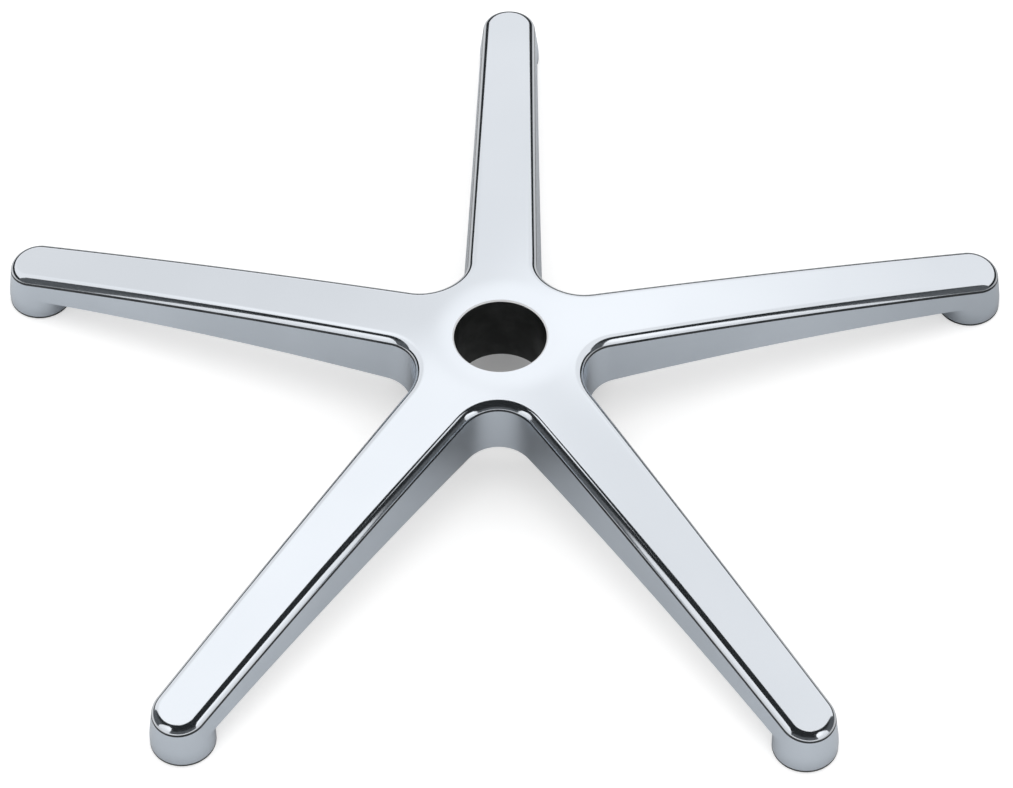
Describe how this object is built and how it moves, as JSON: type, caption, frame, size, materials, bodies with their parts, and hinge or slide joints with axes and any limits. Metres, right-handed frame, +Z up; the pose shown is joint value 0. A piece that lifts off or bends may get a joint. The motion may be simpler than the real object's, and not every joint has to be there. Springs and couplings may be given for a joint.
{
  "type": "chair base",
  "caption": "Polished cast star base for a swivel chair, with a gas-lift bore in its hub and a caster socket under the end of each leg.",
  "frame": {"origin": "centre of the gas-lift bore at the hub's lower rim, 22.5 mm above the faces of the caster bosses", "axes": "+Z up along the bore; +Y out along one leg"},
  "size_m": [0.5536, 0.5282, 0.0665],
  "materials": {
    "polished_aluminium": "polished"
  },
  "bodies": {
    "root": {"star_base": "polished_aluminium"}
  },
  "joints": []
}
